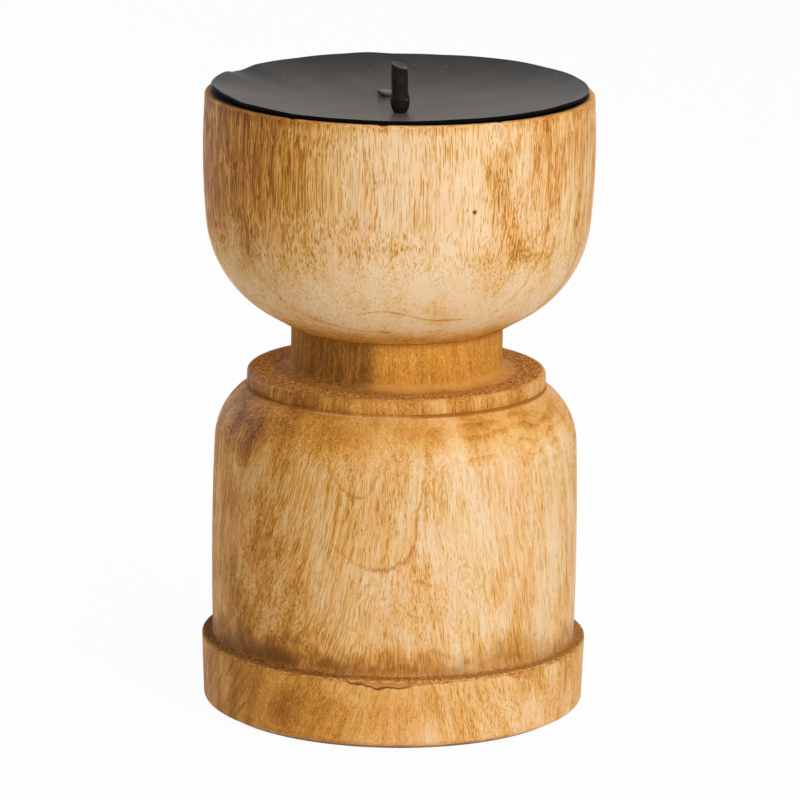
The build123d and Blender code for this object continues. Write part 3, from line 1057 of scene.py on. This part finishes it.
def makeSpike():
    s = spikeShape
    foot, top = s["foot"], s["foot"] + s["height"]
    underPan = foot - panShape["sheet"]

    def hammer(p):
        up = (p.z - foot) / s["height"]
        if up > 0:
            turn = math.atan2(p.y, p.x)
            beat = noise.noise(Vector((math.cos(turn) * 1.3, math.sin(turn) * 1.3, p.z * 0.45)))
            flat = 0.5 * math.cos(3 * turn + 0.8) * (1 - up)
            swell = 1 + s["hammered"] * (beat + 0.5 * flat) * ease(0.0, 0.15, up)
            p = Vector((p.x * swell, p.y * swell, p.z))
            cut = s["cutDrop"] * (p.x / s["radius"] + 1) / 2 - s["cutFront"] * (p.y / s["radius"])
            p.z -= ease(0.35, 1.0, up) * cut
            p.x += s["lean"] * (p.z - foot) + s["aside"]
        return p

    o = Outline(0.0, underPan - s["rivet"][1])
    o.arc((1.0, 0.0), s["rivet"][0], underPan, 0.4)
    o.line(s["tail"], underPan)
    o.line(s["tail"], foot + s["seat"])
    o.line(1.3, foot + s["seat"])
    o.arc((1.0, 0.0), 1.92, foot + 0.6, 0.15)
    for rise, reach in s["bulge"]:
        o.line(reach, foot + rise, 0.5)
    for inset, below, step, worn in s["cap"]:
        o.line(s["radius"] - inset, top - below, step, worn)
    o.line(0.0, top - 0.15, 0.3, 0.35)
    piece = turnPiece("cutSpike", o, spikeIron, s["segments"], shape=hammer)
    settle(piece, "pricket_spike")


nailShape = {
    "spot": (-4.0, 19.0),
    "head": 1.95,
    "thick": 0.95,
    "rounding": 0.22,
    "proud": 0.35,          # not driven quite home
    "tip": -9.0,            # degrees, its head lifts on the left
    "bendFrom": -0.5,       # the shank bends this far under the head
    "shank": 0.9,
    "length": 16.0,
    "point": 2.5,
    "segments": 40,
}


def makeNail():
    n = nailShape
    x, y = n["spot"]
    centre = Vector((0, 0, panShape["floor"] + panShape["ball"]))
    inward = Vector((-x, -y, math.sqrt(panShape["ball"] ** 2 - x * x - y * y))).normalized()
    seat = centre - inward * panShape["ball"]
    turn = inward.to_track_quat("Z", "Y").to_matrix()
    tilt = Matrix.Rotation(math.radians(-n["tip"]), 3, "Y")

    def drive(p):
        if p.z > n["bendFrom"]:
            p = tilt @ p + Vector((0, 0, n["proud"])) * ease(n["bendFrom"], 0.0, p.z)
        return seat + turn @ p

    o = Outline(0.0, -n["length"])
    o.line(n["shank"], n["point"] - n["length"], 1.0)
    o.line(n["shank"], n["bendFrom"], 2.0)
    o.line(n["shank"], 0.0, 0.3)
    o.line(n["head"] - 0.1, 0.0, 0.4)
    o.corner(n["head"], 0.05, n["head"], n["thick"], 0.05, 0.1)
    o.corner(n["head"], n["thick"] - 0.1, 0.0, n["thick"] + 0.05, n["rounding"], 0.1, 0.4)
    o.line(0.0, n["thick"], 0.3, 1.0)
    piece = turnPiece("panNail", o, nailIron, n["segments"], shape=drive)
    settle(piece, "pan_nail")


makeSpike()
makeNail()
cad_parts["joining_dowel"].data.materials.clear()
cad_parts["joining_dowel"].data.materials.append(dowelWood)
print("pieces placed")


# floor, light and world

studio = {
    "floorSize": 6.0,
    "floorGrey": 0.92,
    "floorGlow": 0.96,          # share of plain white that the camera sees
    "keyPower": 19.5, "keySize": 0.9, "keySpot": (0.80, -1.45, 0.85),
    "topPower": 6.5, "topSize": 0.9, "topSpot": (0.45, -0.25, 1.25),
    "fillPower": 2.0, "fillSize": 1.2, "fillSpot": (-1.4, -1.0, 0.8),
    "edgePower": 6.0, "edgeSize": 0.8, "edgeSpot": (-1.0, 1.0, 0.45),
    "aim": (0.0, 0.0, 0.09),
    "backdrop": 1.0,            # white paper low down at the back
    "around": 0.10,             # and the room everywhere else
    "paperTint": rgb(1.0, 0.93, 0.85),
    "white": rgb(1.0, 1.0, 1.0),
}


def seenDirectly():
    # by the camera, in a reflection or through glass
    ray = addNode("ShaderNodeLightPath").outputs
    return most(ray["Is Camera Ray"], ray["Is Glossy Ray"], ray["Is Transmission Ray"])


def makeFloor():
    s = studio["floorSize"]
    mesh = bpy.data.meshes.new("studioFloor")
    mesh.from_pydata([(-s, -s, 0), (s, -s, 0), (s, s, 0), (-s, s, 0)], [], [(0, 1, 2, 3)])
    floor = addObject("studioFloor", mesh)
    paper = bpy.data.materials.new("whitePaper")
    paper.use_nodes = True
    openTree(paper.node_tree).nodes.clear()
    grey = studio["floorGrey"]
    matt = firstOf("ShaderNodeBsdfDiffuse", {"Color": rgb(grey, grey, grey)})
    glow = firstOf("ShaderNodeEmission", {"Color": studio["white"], "Strength": 1.0})
    seen = times(seenDirectly(), studio["floorGlow"])
    addNode("ShaderNodeOutputMaterial", {0: firstOf("ShaderNodeMixShader", {0: seen, 1: matt, 2: glow})})
    mesh.materials.append(paper)


def addSoftbox(name):
    data = bpy.data.lights.new(name + "Softbox", "AREA")
    data.size = studio[name + "Size"]
    data.energy = studio[name + "Power"]
    lamp = addObject(name + "Softbox", data)
    lamp.location = studio[name + "Spot"]
    aim = Vector(studio["aim"]) - lamp.location
    lamp.rotation_euler = aim.to_track_quat("-Z", "Y").to_euler()


def makeWorld():
    world = bpy.data.worlds.new("studioWorld")
    world.use_nodes = True
    sky = openTree(world.node_tree).nodes["Background"]
    seen = seenDirectly()
    y, z = partsOf(addNode("ShaderNodeTexCoord").outputs["Generated"])[1:]
    behind = times(spread(y, 0.25, 0.80), spread(z, 0.50, 0.15))
    level = plus(studio["around"], times(behind, studio["backdrop"] - studio["around"]))
    level = firstOf("ShaderNodeMix", {0: seen, 2: level, 3: 1.0})
    feed(sky, {"Color": blend(seen, studio["paperTint"], studio["white"]), "Strength": level})
    bpy.context.scene.world = world


makeFloor()
for lampName in ("key", "top", "fill", "edge"):
    addSoftbox(lampName)
makeWorld()
bpy.context.scene.view_settings.view_transform = "Standard"
print("studio lit")
